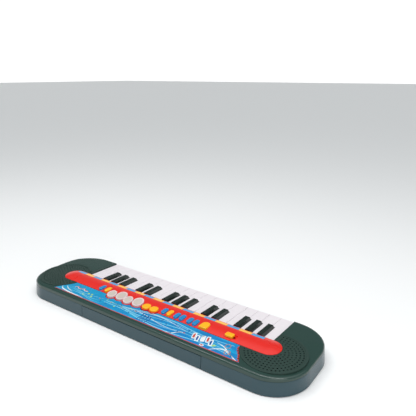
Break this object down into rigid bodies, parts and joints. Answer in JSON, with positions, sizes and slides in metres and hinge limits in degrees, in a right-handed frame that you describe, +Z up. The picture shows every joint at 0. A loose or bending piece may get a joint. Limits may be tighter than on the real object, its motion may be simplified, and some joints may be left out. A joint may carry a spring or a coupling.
{
  "type": "toy electronic keyboard",
  "caption": "Small toy electronic keyboard with mini piano keys, a domed control strip with buttons, drum pads and a slide switch, a round speaker grille at each end and a battery door.",
  "frame": {"origin": "centre of the footprint, on the surface the keyboard stands on", "axes": "+X to the player's right (treble end), +Y to the back (control side), +Z up; the player sits at -Y"},
  "size_m": [0.54, 0.155, 0.0342],
  "materials": {
    "case_grey": "satin moulded ABS",
    "grille_grey": "satin moulded ABS, perforated",
    "red_plastic": "glossy moulded ABS",
    "sticker_print": "printed, laminated",
    "driver_black": "pressed basket and cone",
    "board_brown": "bare laminate board",
    "silicone": "moulded silicone",
    "screw_steel": "zinc plated",
    "contact_steel": "nickel plated",
    "cell_jacket": "shrink sleeve",
    "white_plastic": "semi-gloss moulded ABS",
    "black_plastic": "glossy moulded ABS",
    "yellow_plastic": "glossy moulded ABS",
    "blue_plastic": "glossy moulded ABS",
    "pad_plastic": "glossy moulded ABS"
  },
  "bodies": {
    "case": {"bottom_case": "case_grey", "top_case": "case_grey", "control_strip": "red_plastic", "graphic_sticker": "sticker_print", "speaker_grilles": "grille_grey", "speaker_drivers": "driver_black", "circuit_boards": "board_brown", "rubber_contacts": "silicone", "case_screws": "screw_steel", "battery_contacts": "contact_steel", "batteries": "cell_jacket"},
    "white_key_01": {"white_key_01": "white_plastic"},
    "white_key_02": {"white_key_02": "white_plastic"},
    "white_key_03": {"white_key_03": "white_plastic"},
    "white_key_04": {"white_key_04": "white_plastic"},
    "white_key_05": {"white_key_05": "white_plastic"},
    "white_key_06": {"white_key_06": "white_plastic"},
    "white_key_07": {"white_key_07": "white_plastic"},
    "white_key_08": {"white_key_08": "white_plastic"},
    "white_key_09": {"white_key_09": "white_plastic"},
    "white_key_10": {"white_key_10": "white_plastic"},
    "white_key_11": {"white_key_11": "white_plastic"},
    "white_key_12": {"white_key_12": "white_plastic"},
    "white_key_13": {"white_key_13": "white_plastic"},
    "white_key_14": {"white_key_14": "white_plastic"},
    "white_key_15": {"white_key_15": "white_plastic"},
    "white_key_16": {"white_key_16": "white_plastic"},
    "white_key_17": {"white_key_17": "white_plastic"},
    "white_key_18": {"white_key_18": "white_plastic"},
    "white_key_19": {"white_key_19": "white_plastic"},
    "black_key_01": {"black_key_01": "black_plastic"},
    "black_key_02": {"black_key_02": "black_plastic"},
    "black_key_03": {"black_key_03": "black_plastic"},
    "black_key_04": {"black_key_04": "black_plastic"},
    "black_key_05": {"black_key_05": "black_plastic"},
    "black_key_06": {"black_key_06": "black_plastic"},
    "black_key_07": {"black_key_07": "black_plastic"},
    "black_key_08": {"black_key_08": "black_plastic"},
    "black_key_09": {"black_key_09": "black_plastic"},
    "black_key_10": {"black_key_10": "black_plastic"},
    "black_key_11": {"black_key_11": "black_plastic"},
    "black_key_12": {"black_key_12": "black_plastic"},
    "black_key_13": {"black_key_13": "black_plastic"},
    "oval_button_1": {"oval_button_1": "blue_plastic"},
    "oval_button_2": {"oval_button_2": "yellow_plastic"},
    "drum_pad_1": {"drum_pad_1": "pad_plastic"},
    "drum_pad_2": {"drum_pad_2": "pad_plastic"},
    "drum_pad_3": {"drum_pad_3": "pad_plastic"},
    "drum_pad_4": {"drum_pad_4": "pad_plastic"},
    "round_button_1": {"round_button_1": "yellow_plastic"},
    "round_button_2": {"round_button_2": "yellow_plastic"},
    "oval_button_3": {"oval_button_3": "blue_plastic"},
    "oval_button_4": {"oval_button_4": "yellow_plastic"},
    "oval_button_5": {"oval_button_5": "blue_plastic"},
    "oval_button_6": {"oval_button_6": "blue_plastic"},
    "oval_button_7": {"oval_button_7": "blue_plastic"},
    "oval_button_8": {"oval_button_8": "blue_plastic"},
    "arch_button": {"arch_button": "yellow_plastic"},
    "slide_switch": {"slide_switch": "yellow_plastic"},
    "battery_door": {"battery_door": "case_grey"}
  },
  "joints": [
    {"name": "white_key_01_press", "type": "hinge", "parent": "case", "child": "white_key_01", "pos_m": [-0.189, 0.008, 0.014], "axis": [1, 0, 0], "range_deg": [0, 3], "stiffness_Nm_per_rad": 0.3, "springref_deg": -4.58},
    {"name": "white_key_02_press", "type": "hinge", "parent": "case", "child": "white_key_02", "pos_m": [-0.169, 0.008, 0.014], "axis": [1, 0, 0], "range_deg": [0, 3], "stiffness_Nm_per_rad": 0.3, "springref_deg": -4.58},
    {"name": "white_key_03_press", "type": "hinge", "parent": "case", "child": "white_key_03", "pos_m": [-0.149, 0.008, 0.014], "axis": [1, 0, 0], "range_deg": [0, 3], "stiffness_Nm_per_rad": 0.3, "springref_deg": -4.58},
    {"name": "white_key_04_press", "type": "hinge", "parent": "case", "child": "white_key_04", "pos_m": [-0.129, 0.008, 0.014], "axis": [1, 0, 0], "range_deg": [0, 3], "stiffness_Nm_per_rad": 0.3, "springref_deg": -4.58},
    {"name": "white_key_05_press", "type": "hinge", "parent": "case", "child": "white_key_05", "pos_m": [-0.109, 0.008, 0.014], "axis": [1, 0, 0], "range_deg": [0, 3], "stiffness_Nm_per_rad": 0.3, "springref_deg": -4.58},
    {"name": "white_key_06_press", "type": "hinge", "parent": "case", "child": "white_key_06", "pos_m": [-0.089, 0.008, 0.014], "axis": [1, 0, 0], "range_deg": [0, 3], "stiffness_Nm_per_rad": 0.3, "springref_deg": -4.58},
    {"name": "white_key_07_press", "type": "hinge", "parent": "case", "child": "white_key_07", "pos_m": [-0.069, 0.008, 0.014], "axis": [1, 0, 0], "range_deg": [0, 3], "stiffness_Nm_per_rad": 0.3, "springref_deg": -4.58},
    {"name": "white_key_08_press", "type": "hinge", "parent": "case", "child": "white_key_08", "pos_m": [-0.049, 0.008, 0.014], "axis": [1, 0, 0], "range_deg": [0, 3], "stiffness_Nm_per_rad": 0.3, "springref_deg": -4.58},
    {"name": "white_key_09_press", "type": "hinge", "parent": "case", "child": "white_key_09", "pos_m": [-0.029, 0.008, 0.014], "axis": [1, 0, 0], "range_deg": [0, 3], "stiffness_Nm_per_rad": 0.3, "springref_deg": -4.58},
    {"name": "white_key_10_press", "type": "hinge", "parent": "case", "child": "white_key_10", "pos_m": [-0.009, 0.008, 0.014], "axis": [1, 0, 0], "range_deg": [0, 3], "stiffness_Nm_per_rad": 0.3, "springref_deg": -4.58},
    {"name": "white_key_11_press", "type": "hinge", "parent": "case", "child": "white_key_11", "pos_m": [0.011, 0.008, 0.014], "axis": [1, 0, 0], "range_deg": [0, 3], "stiffness_Nm_per_rad": 0.3, "springref_deg": -4.58},
    {"name": "white_key_12_press", "type": "hinge", "parent": "case", "child": "white_key_12", "pos_m": [0.031, 0.008, 0.014], "axis": [1, 0, 0], "range_deg": [0, 3], "stiffness_Nm_per_rad": 0.3, "springref_deg": -4.58},
    {"name": "white_key_13_press", "type": "hinge", "parent": "case", "child": "white_key_13", "pos_m": [0.051, 0.008, 0.014], "axis": [1, 0, 0], "range_deg": [0, 3], "stiffness_Nm_per_rad": 0.3, "springref_deg": -4.58},
    {"name": "white_key_14_press", "type": "hinge", "parent": "case", "child": "white_key_14", "pos_m": [0.071, 0.008, 0.014], "axis": [1, 0, 0], "range_deg": [0, 3], "stiffness_Nm_per_rad": 0.3, "springref_deg": -4.58},
    {"name": "white_key_15_press", "type": "hinge", "parent": "case", "child": "white_key_15", "pos_m": [0.091, 0.008, 0.014], "axis": [1, 0, 0], "range_deg": [0, 3], "stiffness_Nm_per_rad": 0.3, "springref_deg": -4.58},
    {"name": "white_key_16_press", "type": "hinge", "parent": "case", "child": "white_key_16", "pos_m": [0.111, 0.008, 0.014], "axis": [1, 0, 0], "range_deg": [0, 3], "stiffness_Nm_per_rad": 0.3, "springref_deg": -4.58},
    {"name": "white_key_17_press", "type": "hinge", "parent": "case", "child": "white_key_17", "pos_m": [0.131, 0.008, 0.014], "axis": [1, 0, 0], "range_deg": [0, 3], "stiffness_Nm_per_rad": 0.3, "springref_deg": -4.58},
    {"name": "white_key_18_press", "type": "hinge", "parent": "case", "child": "white_key_18", "pos_m": [0.151, 0.008, 0.014], "axis": [1, 0, 0], "range_deg": [0, 3], "stiffness_Nm_per_rad": 0.3, "springref_deg": -4.58},
    {"name": "white_key_19_press", "type": "hinge", "parent": "case", "child": "white_key_19", "pos_m": [0.171, 0.008, 0.014], "axis": [1, 0, 0], "range_deg": [0, 3], "stiffness_Nm_per_rad": 0.3, "springref_deg": -4.58},
    {"name": "black_key_01_press", "type": "hinge", "parent": "case", "child": "black_key_01", "pos_m": [-0.179, 0.008, 0.014], "axis": [1, 0, 0], "range_deg": [0, 4], "stiffness_Nm_per_rad": 0.2, "springref_deg": -4.58},
    {"name": "black_key_02_press", "type": "hinge", "parent": "case", "child": "black_key_02", "pos_m": [-0.159, 0.008, 0.014], "axis": [1, 0, 0], "range_deg": [0, 4], "stiffness_Nm_per_rad": 0.2, "springref_deg": -4.58},
    {"name": "black_key_03_press", "type": "hinge", "parent": "case", "child": "black_key_03", "pos_m": [-0.139, 0.008, 0.014], "axis": [1, 0, 0], "range_deg": [0, 4], "stiffness_Nm_per_rad": 0.2, "springref_deg": -4.58},
    {"name": "black_key_04_press", "type": "hinge", "parent": "case", "child": "black_key_04", "pos_m": [-0.099, 0.008, 0.014], "axis": [1, 0, 0], "range_deg": [0, 4], "stiffness_Nm_per_rad": 0.2, "springref_deg": -4.58},
    {"name": "black_key_05_press", "type": "hinge", "parent": "case", "child": "black_key_05", "pos_m": [-0.079, 0.008, 0.014], "axis": [1, 0, 0], "range_deg": [0, 4], "stiffness_Nm_per_rad": 0.2, "springref_deg": -4.58},
    {"name": "black_key_06_press", "type": "hinge", "parent": "case", "child": "black_key_06", "pos_m": [-0.039, 0.008, 0.014], "axis": [1, 0, 0], "range_deg": [0, 4], "stiffness_Nm_per_rad": 0.2, "springref_deg": -4.58},
    {"name": "black_key_07_press", "type": "hinge", "parent": "case", "child": "black_key_07", "pos_m": [-0.019, 0.008, 0.014], "axis": [1, 0, 0], "range_deg": [0, 4], "stiffness_Nm_per_rad": 0.2, "springref_deg": -4.58},
    {"name": "black_key_08_press", "type": "hinge", "parent": "case", "child": "black_key_08", "pos_m": [0.001, 0.008, 0.014], "axis": [1, 0, 0], "range_deg": [0, 4], "stiffness_Nm_per_rad": 0.2, "springref_deg": -4.58},
    {"name": "black_key_09_press", "type": "hinge", "parent": "case", "child": "black_key_09", "pos_m": [0.041, 0.008, 0.014], "axis": [1, 0, 0], "range_deg": [0, 4], "stiffness_Nm_per_rad": 0.2, "springref_deg": -4.58},
    {"name": "black_key_10_press", "type": "hinge", "parent": "case", "child": "black_key_10", "pos_m": [0.061, 0.008, 0.014], "axis": [1, 0, 0], "range_deg": [0, 4], "stiffness_Nm_per_rad": 0.2, "springref_deg": -4.58},
    {"name": "black_key_11_press", "type": "hinge", "parent": "case", "child": "black_key_11", "pos_m": [0.101, 0.008, 0.014], "axis": [1, 0, 0], "range_deg": [0, 4], "stiffness_Nm_per_rad": 0.2, "springref_deg": -4.58},
    {"name": "black_key_12_press", "type": "hinge", "parent": "case", "child": "black_key_12", "pos_m": [0.121, 0.008, 0.014], "axis": [1, 0, 0], "range_deg": [0, 4], "stiffness_Nm_per_rad": 0.2, "springref_deg": -4.58},
    {"name": "black_key_13_press", "type": "hinge", "parent": "case", "child": "black_key_13", "pos_m": [0.141, 0.008, 0.014], "axis": [1, 0, 0], "range_deg": [0, 4], "stiffness_Nm_per_rad": 0.2, "springref_deg": -4.58},
    {"name": "oval_button_1_press", "type": "slide", "parent": "case", "child": "oval_button_1", "axis": [0, 0, -1], "range_m": [0, 0.0012], "stiffness_N_per_m": 600, "springref_m": -0.001},
    {"name": "oval_button_2_press", "type": "slide", "parent": "case", "child": "oval_button_2", "axis": [0, 0, -1], "range_m": [0, 0.0012], "stiffness_N_per_m": 600, "springref_m": -0.001},
    {"name": "drum_pad_1_press", "type": "slide", "parent": "case", "child": "drum_pad_1", "axis": [0, 0, -1], "range_m": [0, 0.0012], "stiffness_N_per_m": 600, "springref_m": -0.001},
    {"name": "drum_pad_2_press", "type": "slide", "parent": "case", "child": "drum_pad_2", "axis": [0, 0, -1], "range_m": [0, 0.0012], "stiffness_N_per_m": 600, "springref_m": -0.001},
    {"name": "drum_pad_3_press", "type": "slide", "parent": "case", "child": "drum_pad_3", "axis": [0, 0, -1], "range_m": [0, 0.0012], "stiffness_N_per_m": 600, "springref_m": -0.001},
    {"name": "drum_pad_4_press", "type": "slide", "parent": "case", "child": "drum_pad_4", "axis": [0, 0, -1], "range_m": [0, 0.0012], "stiffness_N_per_m": 600, "springref_m": -0.001},
    {"name": "round_button_1_press", "type": "slide", "parent": "case", "child": "round_button_1", "axis": [0, 0, -1], "range_m": [0, 0.0012], "stiffness_N_per_m": 600, "springref_m": -0.001},
    {"name": "round_button_2_press", "type": "slide", "parent": "case", "child": "round_button_2", "axis": [0, 0, -1], "range_m": [0, 0.0012], "stiffness_N_per_m": 600, "springref_m": -0.001},
    {"name": "oval_button_3_press", "type": "slide", "parent": "case", "child": "oval_button_3", "axis": [0, 0, -1], "range_m": [0, 0.0012], "stiffness_N_per_m": 600, "springref_m": -0.001},
    {"name": "oval_button_4_press", "type": "slide", "parent": "case", "child": "oval_button_4", "axis": [0, 0, -1], "range_m": [0, 0.0012], "stiffness_N_per_m": 600, "springref_m": -0.001},
    {"name": "oval_button_5_press", "type": "slide", "parent": "case", "child": "oval_button_5", "axis": [0, 0, -1], "range_m": [0, 0.0012], "stiffness_N_per_m": 600, "springref_m": -0.001},
    {"name": "oval_button_6_press", "type": "slide", "parent": "case", "child": "oval_button_6", "axis": [0, 0, -1], "range_m": [0, 0.0012], "stiffness_N_per_m": 600, "springref_m": -0.001},
    {"name": "oval_button_7_press", "type": "slide", "parent": "case", "child": "oval_button_7", "axis": [0, 0, -1], "range_m": [0, 0.0012], "stiffness_N_per_m": 600, "springref_m": -0.001},
    {"name": "oval_button_8_press", "type": "slide", "parent": "case", "child": "oval_button_8", "axis": [0, 0, -1], "range_m": [0, 0.0012], "stiffness_N_per_m": 600, "springref_m": -0.001},
    {"name": "arch_button_press", "type": "slide", "parent": "case", "child": "arch_button", "axis": [0, 0, -1], "range_m": [0, 0.0012], "stiffness_N_per_m": 600, "springref_m": -0.001},
    {"name": "slide_switch_travel", "type": "slide", "parent": "case", "child": "slide_switch", "axis": [-1, 0, 0], "range_m": [0, 0.005]},
    {"name": "battery_door_slide", "type": "slide", "parent": "case", "child": "battery_door", "axis": [0, 1, 0], "range_m": [0, 0.03]}
  ]
}
